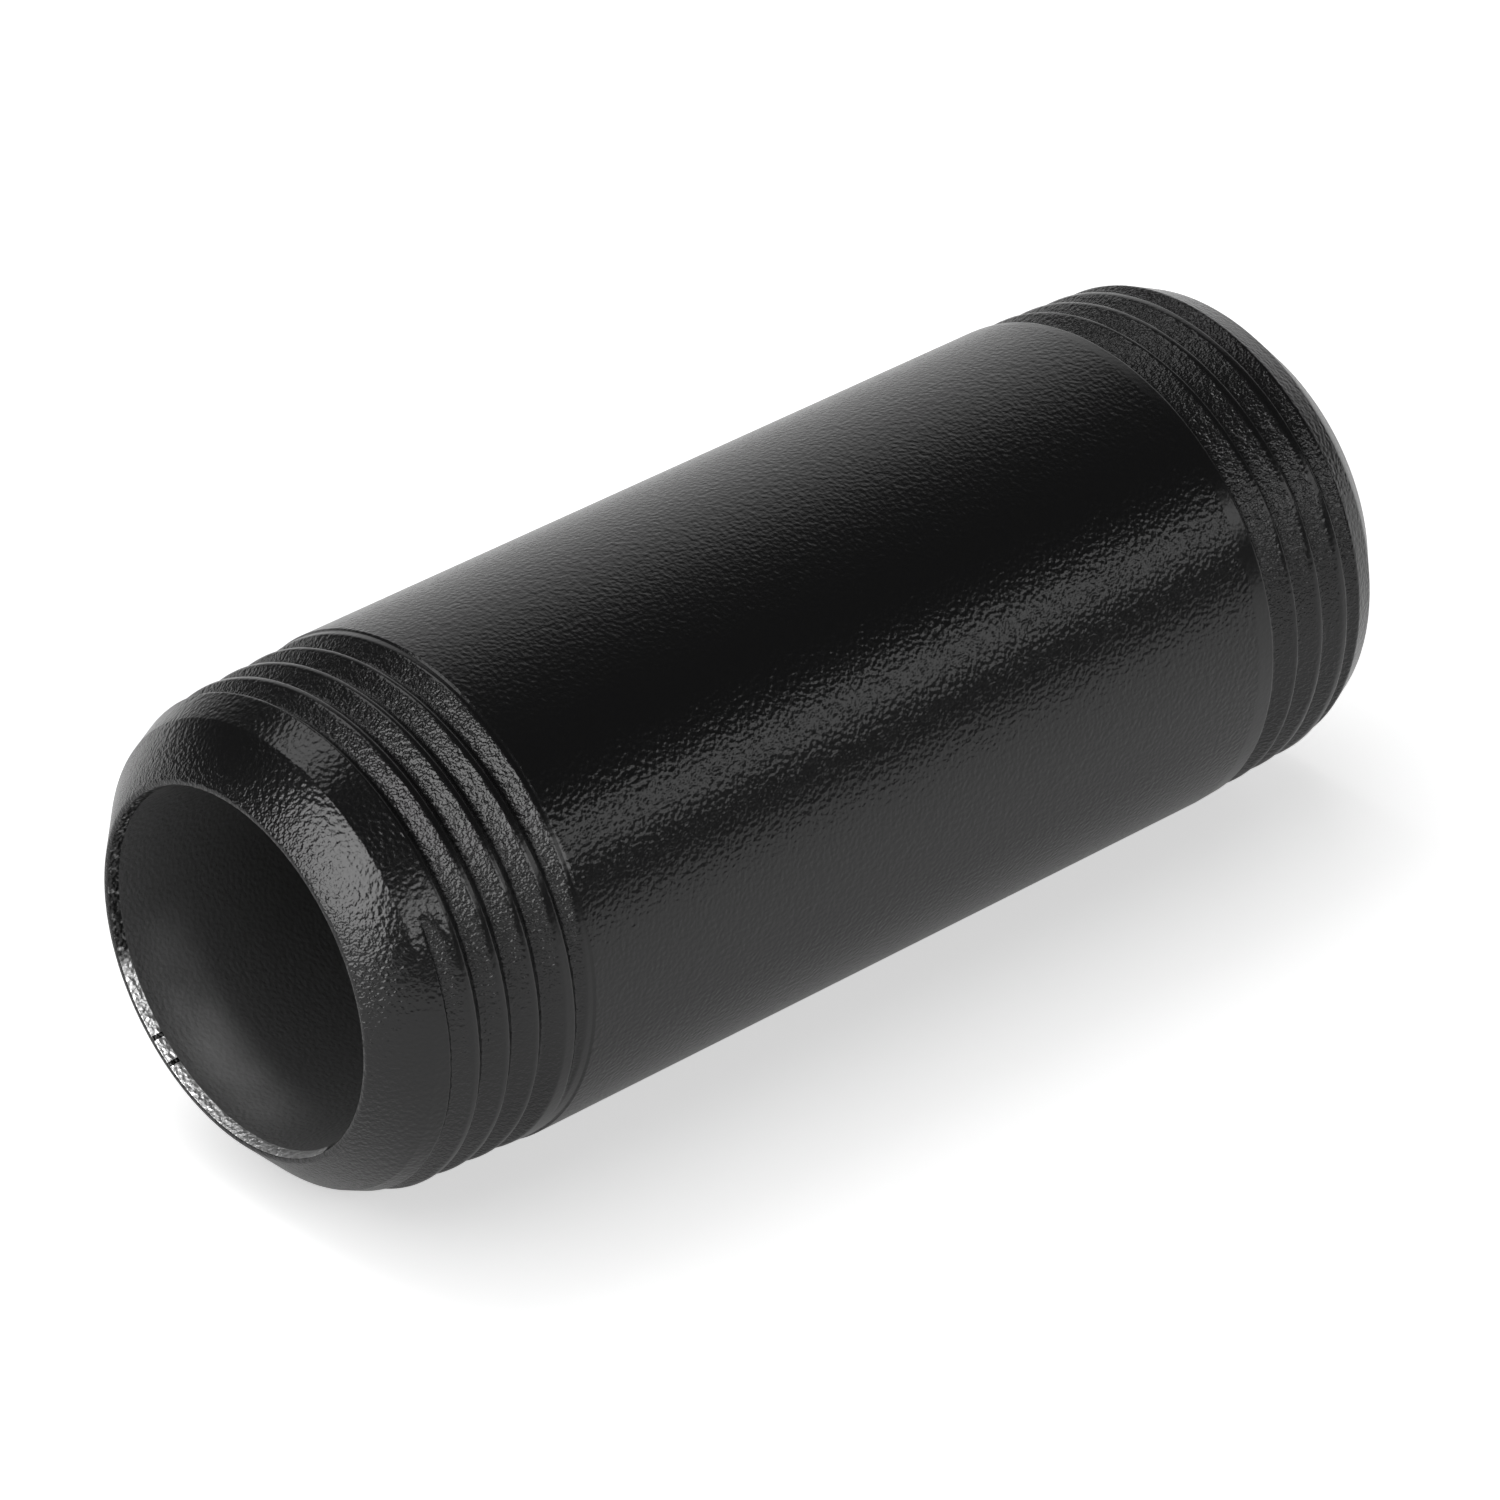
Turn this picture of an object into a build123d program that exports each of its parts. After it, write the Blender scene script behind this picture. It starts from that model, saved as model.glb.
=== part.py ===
from build123d import *
import os
from math import ceil, cos, radians, sin, tan

# Threaded pipe nipple: a short length of heavy-wall steel pipe with a right-hand
# tapered pipe thread at each end. Millimetres. The pipe axis is X, +Z is up, and
# the origin is the middle of the pipe. The end at -X is called the near end and
# the end at +X the far end.

# ---------------------------------------------------------------- driving sizes
OUTER_DIAMETER = 26.67          # 3/4 in pipe
BORE_DIAMETER = 18.85           # heavy (schedule 80) wall
LENGTH = 67.0
THREAD_PITCH = 25.4 / 14        # 14 threads per inch
THREAD_TAPER = 1 / 32           # rise of the radius per length (1:16 on the diameter)

# ---------------------------------------------------------------- end details
RIM_OUTER_RADIUS = 9.84         # flat ring on the end face
RIM_INNER_RADIUS = 9.60
REAM_DEPTH = 0.58               # chamfer from the rim into the bore
BEVEL_LENGTH = 2.22             # 45 degree outer bevel
BEVEL_RADIUS = 12.16            # where the bevel stops
LEAD_LENGTH = 4.00              # the gentler lead-in cone stops here
LEAD_RADIUS = 12.96
THREAD_ZONE = 11.27             # end face to where the full pipe diameter starts
NEAR_STEP = 0.07                # the near end is turned this much under the barrel

# ---------------------------------------------------------------- thread groove
# The coating leaves the crests wide and the grooves shallower than a bare thread.
# Each groove is a V with a narrow flat bottom. A slope is the angle of one side of
# the V from the axis: the side that faces the near end, then the side that faces
# the far end. A groove is drawn a little higher than the metal, and its open top is
# narrower than the pitch, so that two turns never meet.
RUN_OUT_LIFT = 1.70             # how far the groove bottom climbs to leave the metal
SECTIONS_PER_LOFT = 12          # each loft of the groove covers about half a turn

# Angles are measured about +X, from +Y towards +Z. An offset is the distance of
# the groove's bottom from its own end face, at the start angle. A root radius is
# that of the groove's bottom, carried out to the end face.
NEAR_SLOPES = (38.0, 47.0)
NEAR_GROOVE_HEIGHT = 0.72
NEAR_ROOT_WIDTH = 0.10
NEAR_ROOT_RADIUS = 12.26
NEAR_START_ANGLE = 122.0
NEAR_START_OFFSET = 2.86
NEAR_TURNS = 4.70
NEAR_FADE_IN = 30.0             # degrees over which the groove reaches full depth
NEAR_FADE_OUT = 280.0

FAR_SLOPES = (24.0, 56.0)
FAR_GROOVE_HEIGHT = 0.59
FAR_ROOT_WIDTH = 0.04
FAR_ROOT_RADIUS = 12.41
FAR_START_ANGLE = -60.0
FAR_START_OFFSET = 10.98
FAR_TURNS = 6.4                 # enough to run off the end
FAR_FADE_IN = 90.0

OUTER_RADIUS = OUTER_DIAMETER / 2
BORE_RADIUS = BORE_DIAMETER / 2
HALF_LENGTH = LENGTH / 2


def end_outline(step):
    """Points (distance from the end face, radius) of one end, bore to barrel."""
    return [
        (REAM_DEPTH, BORE_RADIUS),
        (0.0, RIM_INNER_RADIUS),
        (0.0, RIM_OUTER_RADIUS),
        (BEVEL_LENGTH, BEVEL_RADIUS),
        (LEAD_LENGTH, LEAD_RADIUS),
        (THREAD_ZONE, OUTER_RADIUS - step),
    ]


def make_blank():
    """The bored pipe with bevelled and tapered ends, before threading."""
    near = [(-HALF_LENGTH + d, r) for d, r in end_outline(NEAR_STEP)]
    near.append((-HALF_LENGTH + THREAD_ZONE, OUTER_RADIUS))
    far = [(HALF_LENGTH - d, r) for d, r in reversed(end_outline(0.0))]
    outline = [Vector(x, 0, r) for x, r in near + far]
    face = make_face(Polyline(*outline, close=True))
    return revolve(face, Axis.X)


def groove_section(x, angle, bottom, width, height, slopes):
    """Closed trapezoid across the groove, in the plane through the axis."""
    to_near, to_far = (height / tan(radians(slope)) for slope in slopes)
    top = bottom + height
    corners = [
        (x - width / 2, bottom),
        (x + width / 2, bottom),
        (x + width / 2 + to_near, top),
        (x - width / 2 - to_far, top),
    ]
    c, s = cos(radians(angle)), sin(radians(angle))
    return Wire.make_polygon([Vector(px, r * c, r * s) for px, r in corners])


def fade(progress):
    """0 at the start of a run-out and 1 where the groove has its full depth."""
    t = min(max(progress, 0.0), 1.0)
    return t * t * (3 - 2 * t)


def cut_groove(body, start, turns, fades, root_radius, shape):
    """Cut a right-hand helical groove in lofts of about half a turn each.

    The groove starts and ends above the metal. start is (x, angle), fades are the
    degrees that it takes to sink in and to climb out, root_radius(x) is the radius
    of its bottom at full depth, and shape is (width, height, slopes).
    """
    start_x, start_angle = start
    fade_in, fade_out = fades
    sweep = turns * 360.0

    def section(turned):
        x = start_x + THREAD_PITCH * turned / 360.0
        depth = 1.0
        if fade_in:
            depth = min(depth, fade(turned / fade_in))
        if fade_out:
            depth = min(depth, fade((sweep - turned) / fade_out))
        bottom = root_radius(x) + (1 - depth) * RUN_OUT_LIFT
        return groove_section(x, start_angle + turned, bottom, *shape)

    loft_count = ceil(turns * 2)
    span = sweep / loft_count
    for i in range(loft_count):
        steps = [i * span + span * j / SECTIONS_PER_LOFT for j in range(SECTIONS_PER_LOFT + 1)]
        body = body - Solid.make_loft([section(turned) for turned in steps])
    return body


def make_nipple():
    """The blank with its two threads."""
    body = cut_groove(
        make_blank(), (-HALF_LENGTH + NEAR_START_OFFSET, NEAR_START_ANGLE), NEAR_TURNS,
        (NEAR_FADE_IN, NEAR_FADE_OUT),
        lambda x: NEAR_ROOT_RADIUS + THREAD_TAPER * (x + HALF_LENGTH),
        (NEAR_ROOT_WIDTH, NEAR_GROOVE_HEIGHT, NEAR_SLOPES))
    return cut_groove(
        body, (HALF_LENGTH - FAR_START_OFFSET, FAR_START_ANGLE), FAR_TURNS,
        (FAR_FADE_IN, 0.0),
        lambda x: FAR_ROOT_RADIUS + THREAD_TAPER * (HALF_LENGTH - x),
        (FAR_ROOT_WIDTH, FAR_GROOVE_HEIGHT, FAR_SLOPES))


nipple = make_nipple()
print("nipple volume", nipple.volume, "valid", nipple.is_valid, "faces", len(nipple.faces()))
os.makedirs("parts", exist_ok=True)
export_step(nipple, "parts/pipe_nipple.step")
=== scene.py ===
# %% [markdown]
# # A black threaded pipe nipple
#
# A pipe nipple is a short length of heavy steel pipe with a tapered thread cut on
# each end. This one is powder coated: a dry paint is dusted on and baked, so every
# corner is a little soft and the whole surface has a fine orange-peel grain.
#
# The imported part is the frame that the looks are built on. It fixes the length, the
# diameter and the place of the pipe. Everything below is in metres, in its frame:
# the pipe lies along X, Z is up, and the origin is the middle of the pipe. The end
# at -X is called the near end and the end at +X the far end.

# %% Load the frame
import math

import bpy
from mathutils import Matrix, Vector


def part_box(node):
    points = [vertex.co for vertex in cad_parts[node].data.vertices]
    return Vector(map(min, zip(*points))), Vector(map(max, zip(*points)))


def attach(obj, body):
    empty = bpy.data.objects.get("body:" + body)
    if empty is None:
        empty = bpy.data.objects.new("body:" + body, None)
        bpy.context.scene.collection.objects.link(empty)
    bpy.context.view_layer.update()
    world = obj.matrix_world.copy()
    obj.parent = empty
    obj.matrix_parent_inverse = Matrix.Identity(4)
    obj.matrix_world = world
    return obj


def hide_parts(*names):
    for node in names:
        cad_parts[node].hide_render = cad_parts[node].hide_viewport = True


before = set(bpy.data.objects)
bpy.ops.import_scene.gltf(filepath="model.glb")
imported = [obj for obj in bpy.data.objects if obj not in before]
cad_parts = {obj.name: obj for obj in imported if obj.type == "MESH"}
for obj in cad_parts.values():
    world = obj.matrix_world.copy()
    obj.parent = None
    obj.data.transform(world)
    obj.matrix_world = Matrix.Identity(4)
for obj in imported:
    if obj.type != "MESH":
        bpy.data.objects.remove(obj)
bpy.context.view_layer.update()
low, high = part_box("pipe_nipple")
MM = 0.001
HALF_LENGTH = (high.x - low.x) / 2
OUTER_RADIUS = (high.z - low.z) / 2
print("pipe: length %.2f mm, diameter %.2f mm" % (HALF_LENGTH * 2 / MM, OUTER_RADIUS * 2 / MM))

# %% [markdown]
# ## The camera
#
# A product picture of something this small is taken with a long lens from well
# back, so the two ends look nearly the same size. The camera stands in front of
# the near end, to its left and above, and looks down at the middle of the pipe.

# %% Place the camera
AZIMUTH = math.radians(-42.1)
ELEVATION = math.radians(31.99)
DISTANCE = 464.3 * MM
AIM = Vector((-0.58, -0.38, -1.07)) * MM
FOCAL_LENGTH = 223.7            # the lens and the sensor are given in millimetres
SENSOR_WIDTH = 36.0


def direction(azimuth, elevation):
    """Unit vector from the object to where a viewer stands. Azimuth 0 is in front."""
    return Vector((math.sin(azimuth) * math.cos(elevation),
                   -math.cos(azimuth) * math.cos(elevation), math.sin(elevation)))


bpy.ops.object.camera_add(location=AIM + direction(AZIMUTH, ELEVATION) * DISTANCE,
                          rotation=(math.pi / 2 - ELEVATION, 0, AZIMUTH))
camera = bpy.context.object
camera.name = "product_camera"
camera.data.lens = FOCAL_LENGTH
camera.data.sensor_width = SENSOR_WIDTH
bpy.context.scene.camera = camera
print("camera at", [round(v, 3) for v in camera.location])

# %% [markdown]
# ## The outline of the wall
#
# A round part is easiest to make as a turner makes it: draw half of its section
# once and turn it about the axis. The outline needs only its corners. It starts in
# the bore, goes out over the near rim, along the outside, in over the far rim and
# back through the bore. One vertex is extruded from corner to corner, so the
# outline stays one chain.

# %% Corners of the section
BORE_RADIUS = 9.425 * MM
RIM_INNER = 9.60 * MM
RIM_OUTER = 9.84 * MM
REAM_DEPTH = 0.58 * MM
BEVEL_LENGTH = 2.22 * MM
BEVEL_RADIUS = 12.16 * MM
LEAD_LENGTH = 4.00 * MM
LEAD_RADIUS = 12.96 * MM
THREAD_ZONE = 11.27 * MM
STEP = 0.07 * MM                # the near end is turned this much under the barrel
STEP_LENGTH = 0.06 * MM
BARREL_START = 12.40 * MM       # past the last trace of thread


def end_corners(step):
    """(distance from the end face, radius) of one end, from the bore to the barrel."""
    corners = [(REAM_DEPTH, BORE_RADIUS), (0, RIM_INNER), (0, RIM_OUTER),
               (BEVEL_LENGTH, BEVEL_RADIUS), (LEAD_LENGTH, LEAD_RADIUS),
               (THREAD_ZONE, OUTER_RADIUS - step)]
    if step:
        corners.append((THREAD_ZONE + STEP_LENGTH, OUTER_RADIUS))
    corners.append((BARREL_START, OUTER_RADIUS))
    return corners


near_end = [(-HALF_LENGTH + d, r) for d, r in end_corners(STEP)]
far_end = [(HALF_LENGTH - d, r) for d, r in end_corners(0)]
outline = near_end + far_end[::-1] + near_end[:1]
print("corners in the outline:", len(outline) - 1)

# %% Extrude a vertex from corner to corner
bpy.ops.object.select_all(action="DESELECT")
bpy.ops.mesh.primitive_plane_add(size=MM)
pipe = bpy.context.object
pipe.name = "coated_nipple"
bpy.ops.object.mode_set(mode="EDIT")
bpy.ops.mesh.merge(type="CENTER")
bpy.ops.transform.translate(value=(outline[0][0], 0, outline[0][1]))
for (x0, r0), (x1, r1) in zip(outline, outline[1:]):
    bpy.ops.mesh.extrude_region_move(TRANSFORM_OT_translate={"value": (x1 - x0, 0, r1 - r0)})
bpy.ops.mesh.select_all(action="SELECT")
bpy.ops.mesh.remove_doubles(threshold=0.01 * MM)
bpy.ops.object.mode_set(mode="OBJECT")
print("outline:", len(pipe.data.vertices), "vertices,", len(pipe.data.edges), "edges")

# %% [markdown]
# ## Rings for the thread
#
# The thread groove will be pressed into the two ends, and a dent can only be as
# sharp as the mesh under it. So the outer edges that carry thread are cut finely,
# about 14 rings to a millimetre. The barrel and the bore stay coarse, because a
# straight tube looks the same with one ring or a hundred.

# %% Pick edges by where they are
def select_edges(wanted):
    """Select the edges whose two ends pass a test, and stay in edit mode."""
    bpy.ops.object.mode_set(mode="EDIT")
    bpy.ops.mesh.select_mode(type="EDGE")
    bpy.ops.mesh.select_all(action="DESELECT")
    bpy.ops.object.mode_set(mode="OBJECT")
    points = pipe.data.vertices
    for edge in pipe.data.edges:
        a, b = (points[i].co for i in edge.vertices)
        edge.select = wanted(a, b)
    bpy.ops.object.mode_set(mode="EDIT")


def from_end(point):
    """Distance of a point from the nearer end face."""
    return HALF_LENGTH - abs(point.x)


# %% Cut the edges that carry thread
FINE = 0.073 * MM
COARSE = 4 * MM
THREADED = ((BEVEL_LENGTH, LEAD_LENGTH), (LEAD_LENGTH, THREAD_ZONE),
            (THREAD_ZONE, BARREL_START), (THREAD_ZONE + STEP_LENGTH, BARREL_START))


def cut_edges(first, last):
    """Subdivide the outer edges that run between two distances from the end faces."""
    def between(a, b):
        near, far = sorted((from_end(a), from_end(b)))
        outside = min(a.z, b.z) > RIM_OUTER
        return outside and abs(near - first) < FINE / 2 and abs(far - last) < FINE / 2

    select_edges(between)
    bpy.ops.mesh.subdivide(number_cuts=round((last - first) / FINE) - 1)


for first, last in THREADED:
    cut_edges(first, last)
select_edges(lambda a, b: abs(a.x - b.x) > HALF_LENGTH)
bpy.ops.mesh.subdivide(number_cuts=round(2 * HALF_LENGTH / COARSE))
bpy.ops.object.mode_set(mode="OBJECT")
print("outline now:", len(pipe.data.vertices), "vertices")

# %% Spin the outline about the pipe axis
SEGMENTS = 240
bpy.ops.object.mode_set(mode="EDIT")
bpy.ops.mesh.select_all(action="SELECT")
bpy.ops.mesh.spin(steps=SEGMENTS, angle=2 * math.pi, center=(0, 0, 0), axis=(1, 0, 0))
bpy.ops.mesh.select_all(action="SELECT")
bpy.ops.mesh.remove_doubles(threshold=0.004 * MM)
bpy.ops.mesh.normals_make_consistent(inside=False)
bpy.ops.object.mode_set(mode="OBJECT")
print("turned blank:", len(pipe.data.vertices), "vertices,", len(pipe.data.polygons), "faces")

# %% [markdown]
# ## Soft corners
#
# The coating pulls back from a sharp corner and fills a sharp valley, so no edge
# is crisp. The edges of both rims get a small rounding of about a tenth of a
# millimetre. It also gives each edge a place to catch a thin line of light.

# %% Round the turned corners
ALONG_TOLERANCE = 0.002 * MM    # how close a point is to a corner that it is on
RADIUS_TOLERANCE = 0.01 * MM


def radius_of(point):
    return math.hypot(point.y, point.z)


def round_corner(distance, radius, size, steps):
    def on_corner(a, b):
        return all(abs(from_end(p) - distance) < ALONG_TOLERANCE
                   and abs(radius_of(p) - radius) < RADIUS_TOLERANCE for p in (a, b))

    select_edges(on_corner)
    bpy.ops.mesh.bevel(offset=size, segments=steps, affect="EDGES")
    bpy.ops.object.mode_set(mode="OBJECT")
    print("rounded at %.2f mm from the ends" % (distance / MM), "faces:", len(pipe.data.polygons))


round_corner(0, RIM_OUTER, 0.09 * MM, 3)
round_corner(0, RIM_INNER, 0.07 * MM, 3)
round_corner(REAM_DEPTH, BORE_RADIUS, 0.12 * MM, 2)

# %% [markdown]
# ## The thread
#
# A pipe thread is one long groove that winds round the end like a spring, 14 turns
# to the inch, and gets a little shallower up the taper. Where it starts and where
# it stops, the groove climbs out of the metal. The coating leaves its bottom round
# and its crests flat and smooth.
#
# It could be cut with a boolean, but that leaves ragged triangles at every corner.
# Here each vertex is instead told how deep it is pressed, as a weight, and a Cast
# modifier draws the weighted vertices in towards the pipe axis. The weights come
# from the shape of the groove, so crest edges and run-outs stay smooth.

# %% Where each groove runs
PITCH = 25.4 / 14 * MM
TAPER = 1 / 32                  # rise of the radius per length
RUN_OUT_LIFT = 1.70 * MM        # how far the groove climbs to leave the metal
near_groove = {"side": 1, "start_x": -HALF_LENGTH + 2.86 * MM, "start_angle": 122.0,
               "turns": 4.70, "fade_in": 30.0, "fade_out": 280.0,
               "root_radius": 12.26 * MM, "slopes": (38.0, 47.0)}
far_groove = {"side": -1, "start_x": HALF_LENGTH - 10.98 * MM, "start_angle": -60.0,
              "turns": 6.4, "fade_in": 90.0, "fade_out": 0.0,
              "root_radius": 12.41 * MM, "slopes": (24.0, 56.0)}
print("turns of thread:", near_groove["turns"], "near,", far_groove["turns"], "far")

# %% The shape of the groove
ROOT_SOFTNESS = 0.10 * MM
CREST_SOFTNESS = 0.06 * MM


def fade(progress):
    """0 where the groove is still above the metal, 1 where it has its full depth."""
    t = min(max(progress, 0.0), 1.0)
    return t * t * (3 - 2 * t)


def valley(offset, slopes):
    """Height of a V with a rounded bottom. Slopes are its right and left side."""
    right, left = (math.tan(math.radians(slope)) for slope in slopes)
    mean, lean = (right + left) / 2, (right - left) / 2
    lowest = ROOT_SOFTNESS * math.sqrt(right * left)
    return mean * math.hypot(offset, ROOT_SOFTNESS) + lean * offset - lowest


def groove_radius(x, angle, groove):
    """Radius of the groove's wall over a point, or a large one where there is none."""
    start = math.radians(groove["start_angle"])
    turned = (angle - start) % (2 * math.pi)
    sweep = groove["turns"] * 2 * math.pi
    lowest = 1.0
    while turned <= sweep:
        bottom_x = groove["start_x"] + PITCH * turned / (2 * math.pi)
        depth = fade(turned / math.radians(groove["fade_in"]))
        if groove["fade_out"]:
            depth = min(depth, fade((sweep - turned) / math.radians(groove["fade_out"])))
        from_face = HALF_LENGTH + bottom_x * groove["side"]
        bottom = groove["root_radius"] + TAPER * from_face + (1 - depth) * RUN_OUT_LIFT
        lowest = min(lowest, bottom + valley(x - bottom_x, groove["slopes"]))
        turned += 2 * math.pi
    return lowest


def softer(a, b):
    """The smaller of two radii, with the corner between them rounded."""
    gap = max(CREST_SOFTNESS - abs(a - b), 0) / CREST_SOFTNESS
    return min(a, b) - gap * gap * CREST_SOFTNESS / 4


# %% Weigh every vertex
CAST_RADIUS = 5 * MM            # the radius that a full weight would pull to
CLEARANCE = 1 * MM              # keeps the weighing off the rim and the barrel
pressed = pipe.vertex_groups.new(name="pressed")
depths = []
for vertex in pipe.data.vertices:
    radius = radius_of(vertex.co)
    groove = near_groove if vertex.co.x < 0 else far_groove
    target = radius
    if radius > RIM_OUTER + CLEARANCE and from_end(vertex.co) < BARREL_START + CLEARANCE:
        angle = math.atan2(vertex.co.z, vertex.co.y)
        target = softer(radius, groove_radius(vertex.co.x, angle, groove))
    depths.append(radius - target)
    if target < radius:
        pressed.add([vertex.index], (radius - target) / (radius - CAST_RADIUS), "REPLACE")
print("deepest groove: %.2f mm under the crest" % (max(depths) / MM))

# %% Press the groove in
bpy.ops.object.select_all(action="DESELECT")
bpy.ops.object.empty_add(rotation=(0, math.pi / 2, 0))
axis = bpy.context.object       # its Z points along the pipe, as the modifier needs
bpy.ops.object.select_all(action="DESELECT")
pipe.select_set(True)
bpy.context.view_layer.objects.active = pipe
bpy.context.view_layer.update()
cast = pipe.modifiers.new("thread", "CAST")
cast.cast_type = "CYLINDER"
cast.object = axis
cast.use_transform = True
cast.use_z = False
cast.factor = 1
cast.use_radius_as_size = False
cast.size = CAST_RADIUS
cast.vertex_group = "pressed"
bpy.ops.object.modifier_apply(modifier="thread")
bpy.data.objects.remove(axis)
bpy.ops.object.shade_smooth_by_angle(angle=math.radians(60))
print("size after pressing:", [round(v / MM, 2) for v in pipe.dimensions])

# %% [markdown]
# ## Where the coat is coarse
#
# Powder lies smoothest on the crests of the thread. It has more grain on the barrel
# and the lead-in cone, and goes on thick and coarse in the grooves and on the bevel.
# A number on each vertex says how coarse the coat is there, from 0 to 1, and the
# material reads it.

# %% Store the coarseness on the mesh
BARREL_GRAIN = 0.42
LEAD_GRAIN = 0.35
COARSE_DEPTH = 0.08 * MM        # a groove this deep has the full grain
SMOOTH_EDGE = 0.1 * MM          # the rounded edge of the bevel has less
coarse = pipe.data.attributes.new("coarse", "FLOAT", "POINT")
for vertex, depth in zip(pipe.data.vertices, depths):
    distance = from_end(vertex.co)
    if distance < BEVEL_LENGTH - SMOOTH_EDGE:
        place = 1.0
    elif distance < LEAD_LENGTH:
        place = LEAD_GRAIN
    elif distance > THREAD_ZONE + STEP_LENGTH:
        place = BARREL_GRAIN
    else:
        place = 0.0
    coarse.data[vertex.index].value = max(min(depth / COARSE_DEPTH, 1), place)
print("coarse vertices:", sum(item.value > 0.9 for item in coarse.data))

# %% [markdown]
# ## The grain
#
# Every finish on this pipe has fine bumps: orange peel in the coat, scratches and
# specks on the bare edge, dust in the bore. They are a tenth to a quarter of a
# millimetre across, far too small for the mesh, so they are a bump pattern made of
# two noises. It reads the part's own coordinates, and so stays put on the metal.

# %% Helpers for node materials
def new_material(name):
    material = bpy.data.materials.new(name)
    material.use_nodes = True
    nodes = material.node_tree.nodes
    nodes.clear()
    return material, nodes, material.node_tree.links


def add_node(nodes, kind, **settings):
    """A node whose settings are either its inputs or its own properties."""
    node = nodes.new(kind)
    for key, value in settings.items():
        key = key.replace("__", " ")
        if key in node.inputs:
            node.inputs[key].default_value = value
        else:
            setattr(node, key, value)
    return node


def finish_material(nodes, links, skin):
    output = add_node(nodes, "ShaderNodeOutputMaterial")
    links.new(skin.outputs["BSDF"], output.inputs["Surface"])


# %% Two sizes of bump
PEEL_SCALE = 4400.0             # bumps to a metre, about a quarter millimetre each
FINE_SCALE = 9500.0             # about a tenth of a millimetre each
FINE_SHARE = 0.2                # the part of the height that the fine bumps make


def grain_bump(nodes, links, deep, fine_share=None):
    """Bumps of two sizes that follow the part. Deep is their height in metres."""
    place = add_node(nodes, "ShaderNodeTexCoord")
    peel = add_node(nodes, "ShaderNodeTexNoise", Scale=PEEL_SCALE, Detail=0.0)
    fine = add_node(nodes, "ShaderNodeTexNoise", Scale=FINE_SCALE, Detail=0.0)
    for noise in (peel, fine):
        links.new(place.outputs["Object"], noise.inputs["Vector"])
    grain = add_node(nodes, "ShaderNodeMix", data_type="FLOAT", Factor=FINE_SHARE)
    links.new(peel.outputs["Fac"], grain.inputs["A"])
    links.new(fine.outputs["Fac"], grain.inputs["B"])
    if fine_share:
        links.new(fine_share, grain.inputs["Factor"])
    bump = add_node(nodes, "ShaderNodeBump", Distance=deep)
    links.new(grain.outputs["Result"], bump.inputs["Height"])
    return bump


# %% [markdown]
# ## The powder coat
#
# Cured black powder is a semi-gloss plastic skin. What the eye reads is not its
# colour, which is nearly nothing, but how its fine bumps break up a reflection. So
# the colour is plain, and the coarseness on the mesh sets the height of the bumps,
# how fine they are and how matt the skin is.

# %% Black powder coat
COAT_COLOUR = (0.004, 0.004, 0.0042, 1)
COAT_BUMP = 0.085 * MM


def powder_coat():
    material, nodes, links = new_material("black_powder_coat")
    coarseness = add_node(nodes, "ShaderNodeAttribute", attribute_name="coarse")
    strength = add_node(nodes, "ShaderNodeMapRange", To__Min=0.12, To__Max=1.0)
    fine_share = add_node(nodes, "ShaderNodeMapRange",
                          From__Min=BARREL_GRAIN, To__Min=FINE_SHARE, To__Max=0.42)
    matt = add_node(nodes, "ShaderNodeMapRange",
                    From__Min=BARREL_GRAIN, To__Min=0.20, To__Max=0.27)
    for reader in (strength, fine_share, matt):
        links.new(coarseness.outputs["Fac"], reader.inputs["Value"])
    bump = grain_bump(nodes, links, COAT_BUMP, fine_share.outputs["Result"])
    links.new(strength.outputs["Result"], bump.inputs["Strength"])
    skin = add_node(nodes, "ShaderNodeBsdfPrincipled")
    links.new(matt.outputs["Result"], skin.inputs["Roughness"])
    skin.inputs["Base Color"].default_value = COAT_COLOUR
    links.new(bump.outputs["Normal"], skin.inputs["Normal"])
    finish_material(nodes, links, skin)
    return material


coat_finish = powder_coat()
print("powder coat:", len(coat_finish.node_tree.nodes), "nodes")

# %% [markdown]
# ## The rubbed edge
#
# The reamed edge inside the near rim is rubbed down to bright steel along about a
# quarter of the circle. Elsewhere a thin coat is left on it. How bare it is goes
# onto the mesh by its angle round the pipe, and a noise breaks the border up into
# specks, as real wear does.

# %% Store how bare the rim is
BARE_CENTRE, BARE_HALF, BARE_SOFT = -76.0, 43.0, 14.0


def angle_of(point):
    """Degrees about the pipe axis, from +Y towards +Z."""
    return math.degrees(math.atan2(point.z, point.y))


def soft_band(value, centre, half_width, soft):
    """1 within half_width of the centre, falling to 0 over the soft border."""
    return min(max((half_width + soft - abs(value - centre)) / soft, 0.0), 1.0)


bare = pipe.data.attributes.new("bare", "FLOAT", "POINT")
for vertex in pipe.data.vertices:
    angle = angle_of(vertex.co)
    bare.data[vertex.index].value = soft_band(angle, BARE_CENTRE, BARE_HALF, BARE_SOFT)
print("bare vertices:", sum(item.value > 0.9 for item in bare.data))

# %% Rubbed edge
EDGE_BUMP = 0.12 * MM


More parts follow.
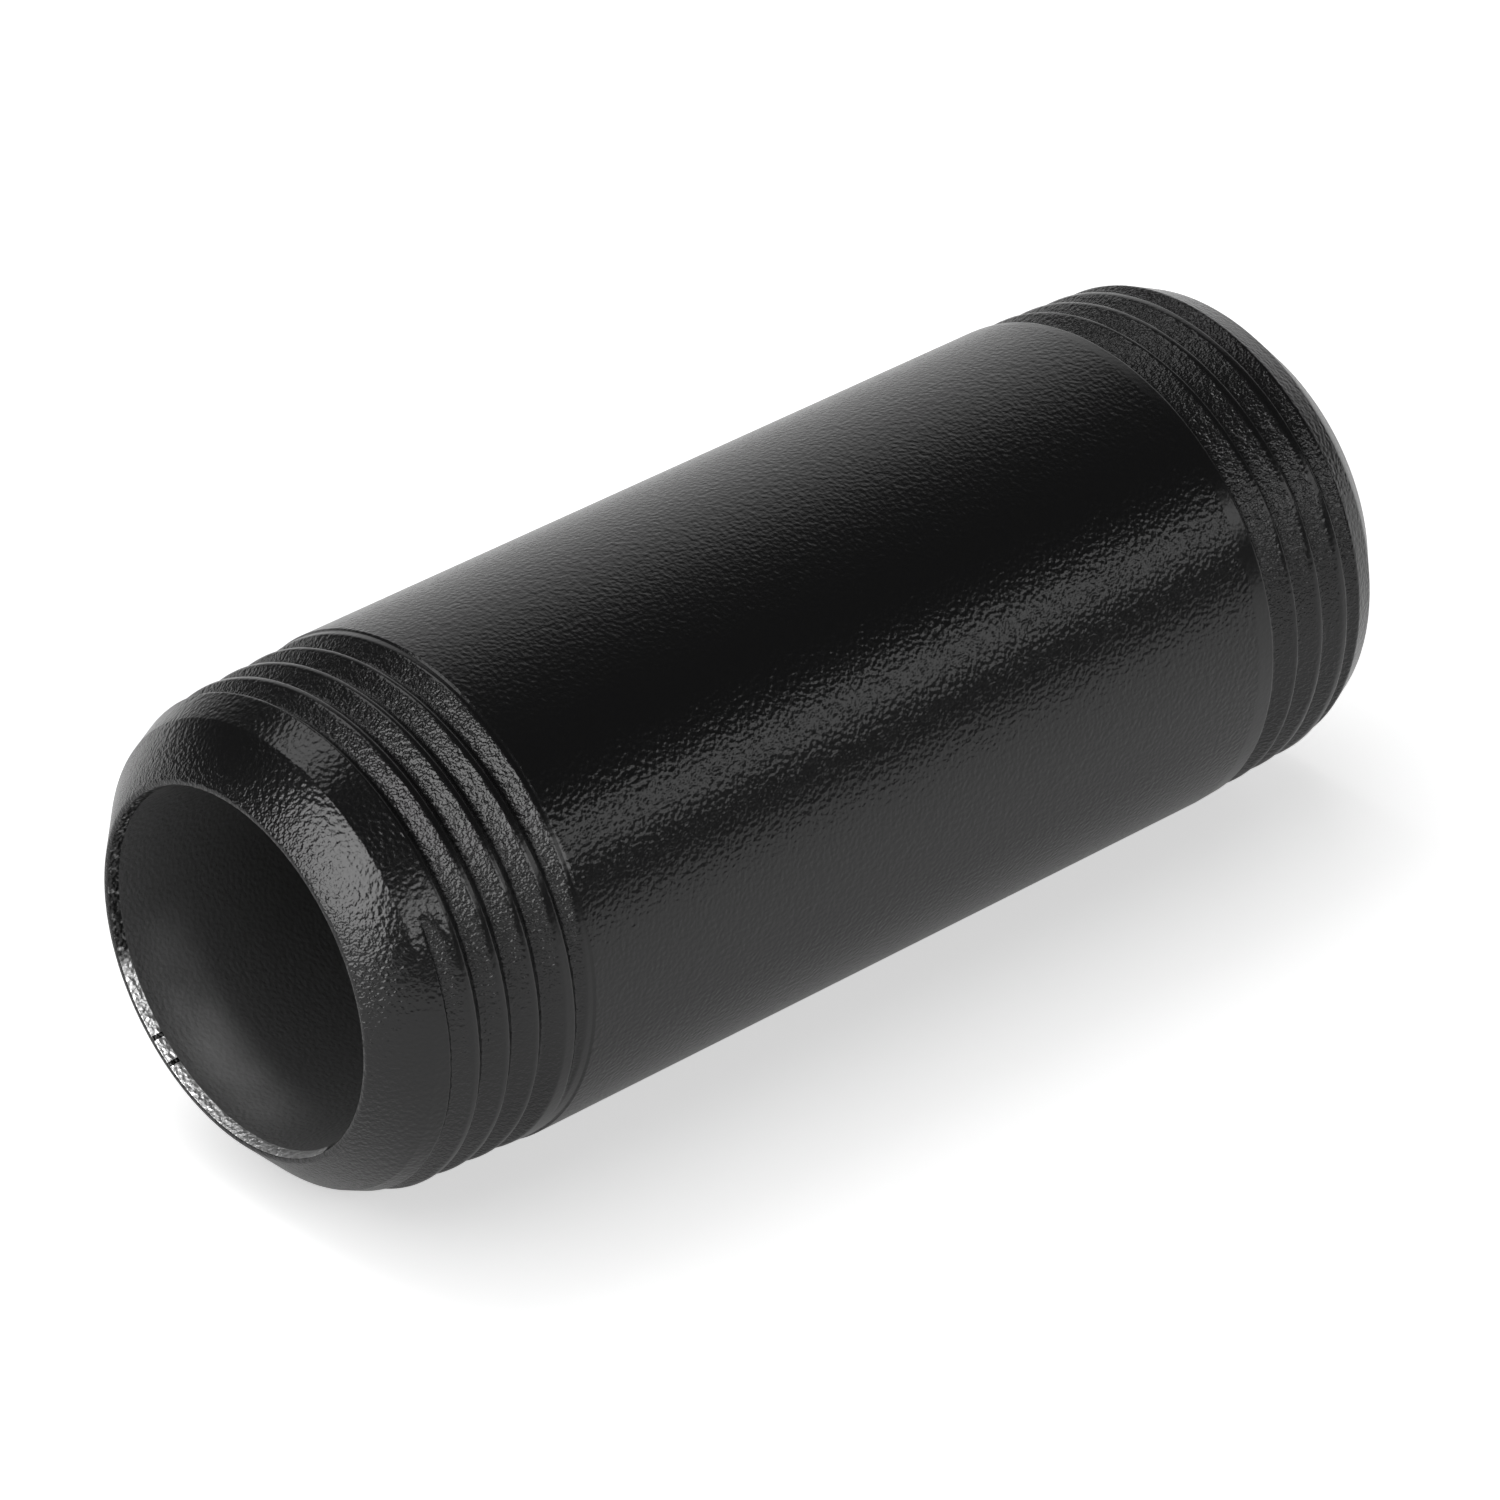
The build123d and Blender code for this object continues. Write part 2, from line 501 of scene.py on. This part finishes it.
def rubbed_edge():
    material, nodes, links = new_material("rubbed_edge")
    place = add_node(nodes, "ShaderNodeTexCoord")
    speckle = add_node(nodes, "ShaderNodeTexNoise", Scale=3500.0, Detail=2.0)
    links.new(place.outputs["Object"], speckle.inputs["Vector"])
    bareness = add_node(nodes, "ShaderNodeAttribute", attribute_name="bare")
    total = add_node(nodes, "ShaderNodeMath", operation="ADD")
    links.new(bareness.outputs["Fac"], total.inputs[0])
    links.new(speckle.outputs["Fac"], total.inputs[1])
    steel = add_node(nodes, "ShaderNodeMapRange", From__Min=0.56, From__Max=0.95)
    links.new(total.outputs["Value"], steel.inputs["Value"])
    colour = add_node(nodes, "ShaderNodeMapRange", To__Min=0.006, To__Max=0.75)
    metal = add_node(nodes, "ShaderNodeMapRange", To__Min=0.0, To__Max=0.9)
    skin = add_node(nodes, "ShaderNodeBsdfPrincipled", Roughness=0.38)
    for link, socket in ((colour, "Base Color"), (metal, "Metallic")):
        links.new(steel.outputs["Result"], link.inputs["Value"])
        links.new(link.outputs["Result"], skin.inputs[socket])
    bump = grain_bump(nodes, links, EDGE_BUMP)
    links.new(bump.outputs["Normal"], skin.inputs["Normal"])
    finish_material(nodes, links, skin)
    return material


edge_finish = rubbed_edge()
print("rubbed edge:", len(edge_finish.node_tree.nodes), "nodes")

# %% [markdown]
# ## The dusted bore and its painted sheen
#
# Powder is sprayed from outside, so the bore only catches a dusting. It is a dull
# dark grey. Low down, a few millimetres inside the near rim, a paler patch is
# painted into its colour: a painted reflection of the light that falls into the
# bore, not dust. The patch fades out round the bore by a number on the mesh, and
# along it by the distance from its middle. A patchy noise mottles it.

# %% Store where the painted sheen lies in the bore
# The band round the bore where a paler colour is painted in as a painted reflection.
PAINTED_SHEEN_CENTRE, PAINTED_SHEEN_HALF, PAINTED_SHEEN_SOFT = -56.0, 8.0, 38.0
painted_sheen_band = pipe.data.attributes.new("painted_sheen_band", "FLOAT", "POINT")
for vertex in pipe.data.vertices:
    angle = angle_of(vertex.co)
    painted_sheen_band.data[vertex.index].value = soft_band(angle, PAINTED_SHEEN_CENTRE, PAINTED_SHEEN_HALF, PAINTED_SHEEN_SOFT)
print("dusty vertices:", sum(item.value > 0.9 for item in painted_sheen_band.data))

# %% Dusted bore with a painted sheen
PAINTED_SHEEN_DEPTH = 2.8 * MM           # from the near end face to the middle of the patch
BORE_BUMP = 0.05 * MM


def dusted_bore_and_painted_sheen():
    material, nodes, links = new_material("dusted_bore_and_painted_sheen")
    place = add_node(nodes, "ShaderNodeTexCoord")
    patches = add_node(nodes, "ShaderNodeTexNoise", Scale=300.0, Detail=3.0, Roughness=0.6)
    links.new(place.outputs["Object"], patches.inputs["Vector"])
    painted_sheen = add_node(nodes, "ShaderNodeAttribute", attribute_name="painted_sheen_band")
    axes = add_node(nodes, "ShaderNodeSeparateXYZ")
    links.new(place.outputs["Object"], axes.inputs["Vector"])
    away = add_node(nodes, "ShaderNodeMath", operation="ADD")
    away.inputs[1].default_value = HALF_LENGTH - PAINTED_SHEEN_DEPTH
    links.new(axes.outputs["X"], away.inputs[0])
    off = add_node(nodes, "ShaderNodeMath", operation="ABSOLUTE")
    links.new(away.outputs["Value"], off.inputs[0])
    band = add_node(nodes, "ShaderNodeMapRange", interpolation_type="SMOOTHSTEP",
                    From__Min=0.3 * MM, From__Max=2.6 * MM, To__Min=1.0, To__Max=0.0)
    links.new(off.outputs["Value"], band.inputs["Value"])
    amount = add_node(nodes, "ShaderNodeMath", operation="MULTIPLY")
    links.new(band.outputs["Result"], amount.inputs[0])
    links.new(painted_sheen.outputs["Fac"], amount.inputs[1])
    mottled = add_node(nodes, "ShaderNodeMath", operation="MULTIPLY")
    links.new(patches.outputs["Fac"], mottled.inputs[0])
    links.new(amount.outputs["Value"], mottled.inputs[1])
    # The dark end of this range is the dusted grey; the pale end is the painted reflection.
    colour = add_node(nodes, "ShaderNodeMapRange", To__Min=0.085, To__Max=0.32)
    links.new(mottled.outputs["Value"], colour.inputs["Value"])
    bump = grain_bump(nodes, links, BORE_BUMP)
    skin = add_node(nodes, "ShaderNodeBsdfPrincipled", Roughness=0.42)
    links.new(colour.outputs["Result"], skin.inputs["Base Color"])
    links.new(bump.outputs["Normal"], skin.inputs["Normal"])
    finish_material(nodes, links, skin)
    return material


bore_finish = dusted_bore_and_painted_sheen()
print("dusted bore:", len(bore_finish.node_tree.nodes), "nodes")

# %% Give each face its finish
COAT, EDGE, BORE = 0, 1, 2
NICKS = (-48.0, -56.0)          # two places where the bright edge is broken
NICK_WIDTH = 0.75
pipe.data.materials.clear()
for material in (coat_finish, edge_finish, bore_finish):
    pipe.data.materials.append(material)
for face in pipe.data.polygons:
    radius = radius_of(face.center)
    nicked = any(abs(angle_of(face.center) - nick) < NICK_WIDTH for nick in NICKS)
    face.material_index = COAT
    if radius < BORE_RADIUS + 0.005 * MM:
        face.material_index = BORE
    elif radius < RIM_INNER and face.center.x < 0 and not nicked:
        face.material_index = EDGE
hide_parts("pipe_nipple")
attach(pipe, "root")
print("faces of rubbed edge:", sum(face.material_index == EDGE for face in pipe.data.polygons))

# %% [markdown]
# ## The floor
#
# The pipe lies on a white sweep of matt paper. The paper gives off a little light
# of its own, and more of it to the camera than to the pipe, so the picture has a
# clean white ground while the black coat isn't lit from below.

# %% Floor
FLOOR_SIZE = 6
GLOW_TO_PIPE, GLOW_TO_CAMERA = 0.16, 0.53
bpy.ops.object.select_all(action="DESELECT")
bpy.ops.mesh.primitive_plane_add(size=FLOOR_SIZE, location=(0, 0, low.z))
floor = bpy.context.object
floor.name = "floor"
sweep, nodes, links = new_material("white_sweep")
paper = add_node(nodes, "ShaderNodeBsdfPrincipled", Roughness=0.9)
paper.inputs["Base Color"].default_value = (0.9, 0.9, 0.9, 1)
paper.inputs["Specular IOR Level"].default_value = 0.1
paper.inputs["Emission Color"].default_value = (1, 1, 1, 1)
to_camera = add_node(nodes, "ShaderNodeLightPath")
lift = add_node(nodes, "ShaderNodeMapRange", To__Min=GLOW_TO_PIPE, To__Max=GLOW_TO_CAMERA)
links.new(to_camera.outputs["Is Camera Ray"], lift.inputs["Value"])
links.new(lift.outputs["Result"], paper.inputs["Emission Strength"])
finish_material(nodes, links, paper)
floor.data.materials.append(sweep)
print("floor at z = %.2f mm" % (low.z / MM))

# %% [markdown]
# ## The lights
#
# A black part shows the room more than itself, so each light is placed for the
# reflection that it makes on the pipe. The large softbox beyond the near end makes
# the bright face of the bevel, and is seen in reflections only, because its shadow
# would be too broad. A small panel at the front left and a long low strip in front
# draw the lines of light along the barrel, and a box above and behind lights its
# top. A wide scrim overhead lights only the floor and makes the soft shadow.

# %% Softboxes
LIGHT_DISTANCE = 0.7


def softbox(name, towards, half_width, half_height, brightness, only=None):
    """A rectangular light that faces the pipe, its half sizes given as angles."""
    place = Vector(towards).normalized() * LIGHT_DISTANCE
    bpy.ops.object.light_add(type="AREA", location=place)
    light = bpy.context.object
    light.name = name
    light.rotation_euler = place.to_track_quat("Z", "Y").to_euler()
    light.data.shape = "RECTANGLE"
    light.data.size = 2 * LIGHT_DISTANCE * math.tan(math.radians(half_width))
    light.data.size_y = 2 * LIGHT_DISTANCE * math.tan(math.radians(half_height))
    light.data.energy = brightness * math.pi * light.data.size * light.data.size_y
    light.visible_glossy = only != "floor"
    light.visible_diffuse = only != "reflections"
    print("light", name, "power %.2f W" % light.data.energy)
    return light


softbox("key_softbox", (-0.84, -0.20, 0.50), 21, 24, 5.2, only="reflections")
softbox("front_left_panel", (-0.22, -0.85, 0.47), 13, 9, 1.9)
softbox("front_strip", (0.17, -0.87, 0.46), 40, 6, 1.6)
softbox("overhead_back_box", (-0.08, 0.40, 0.91), 13, 13, 1.9)
softbox("overhead_scrim", (-0.40, 0.28, 0.87), 42, 42, 1.1, only="floor")

# %% [markdown]
# ## The room
#
# Around the lights the room is dark, a little lighter near the horizon, where the
# white sweep curves up. A broad soft glow at the back right gives the far side of
# the barrel its thin bright rim. It has no edge that a reflection could show.

# %% Dark room with a light horizon
HORIZON_LIGHT, CEILING_LIGHT = 0.22, 0.07
GLOW_LIGHT = 0.75
BACK_RIGHT = (0.75, 0.65, 0.12)
world = bpy.data.worlds.new("studio")
bpy.context.scene.world = world
world.use_nodes = True
nodes, links = world.node_tree.nodes, world.node_tree.links
nodes.clear()
where = add_node(nodes, "ShaderNodeTexCoord")
axes = add_node(nodes, "ShaderNodeSeparateXYZ")
links.new(where.outputs["Generated"], axes.inputs["Vector"])
horizon = add_node(nodes, "ShaderNodeMapRange", interpolation_type="SMOOTHSTEP",
                   From__Min=0.0, From__Max=0.26, To__Min=HORIZON_LIGHT, To__Max=CEILING_LIGHT)
links.new(axes.outputs["Z"], horizon.inputs["Value"])
towards = add_node(nodes, "ShaderNodeVectorMath", operation="DOT_PRODUCT")
towards.inputs[1].default_value = Vector(BACK_RIGHT).normalized()
links.new(where.outputs["Generated"], towards.inputs[0])
glow = add_node(nodes, "ShaderNodeMapRange", interpolation_type="SMOOTHSTEP",
                From__Min=0.64, From__Max=1.0, To__Min=0.0, To__Max=GLOW_LIGHT)
links.new(towards.outputs["Value"], glow.inputs["Value"])
light = add_node(nodes, "ShaderNodeMath", operation="ADD")
links.new(horizon.outputs["Result"], light.inputs[0])
links.new(glow.outputs["Result"], light.inputs[1])
room = add_node(nodes, "ShaderNodeBackground")
links.new(light.outputs["Value"], room.inputs["Color"])
print("room:", len(nodes), "nodes")

# %% A plain white ground for the camera
plain = add_node(nodes, "ShaderNodeBackground")
plain.inputs["Color"].default_value = (1, 1, 1, 1)
ray = add_node(nodes, "ShaderNodeLightPath")
mix = add_node(nodes, "ShaderNodeMixShader")
links.new(ray.outputs["Is Camera Ray"], mix.inputs["Fac"])
links.new(room.outputs["Background"], mix.inputs[1])
links.new(plain.outputs["Background"], mix.inputs[2])
output = add_node(nodes, "ShaderNodeOutputWorld")
links.new(mix.outputs["Shader"], output.inputs["Surface"])
bpy.context.scene.view_settings.view_transform = "Standard"
print("view transform:", bpy.context.scene.view_settings.view_transform)
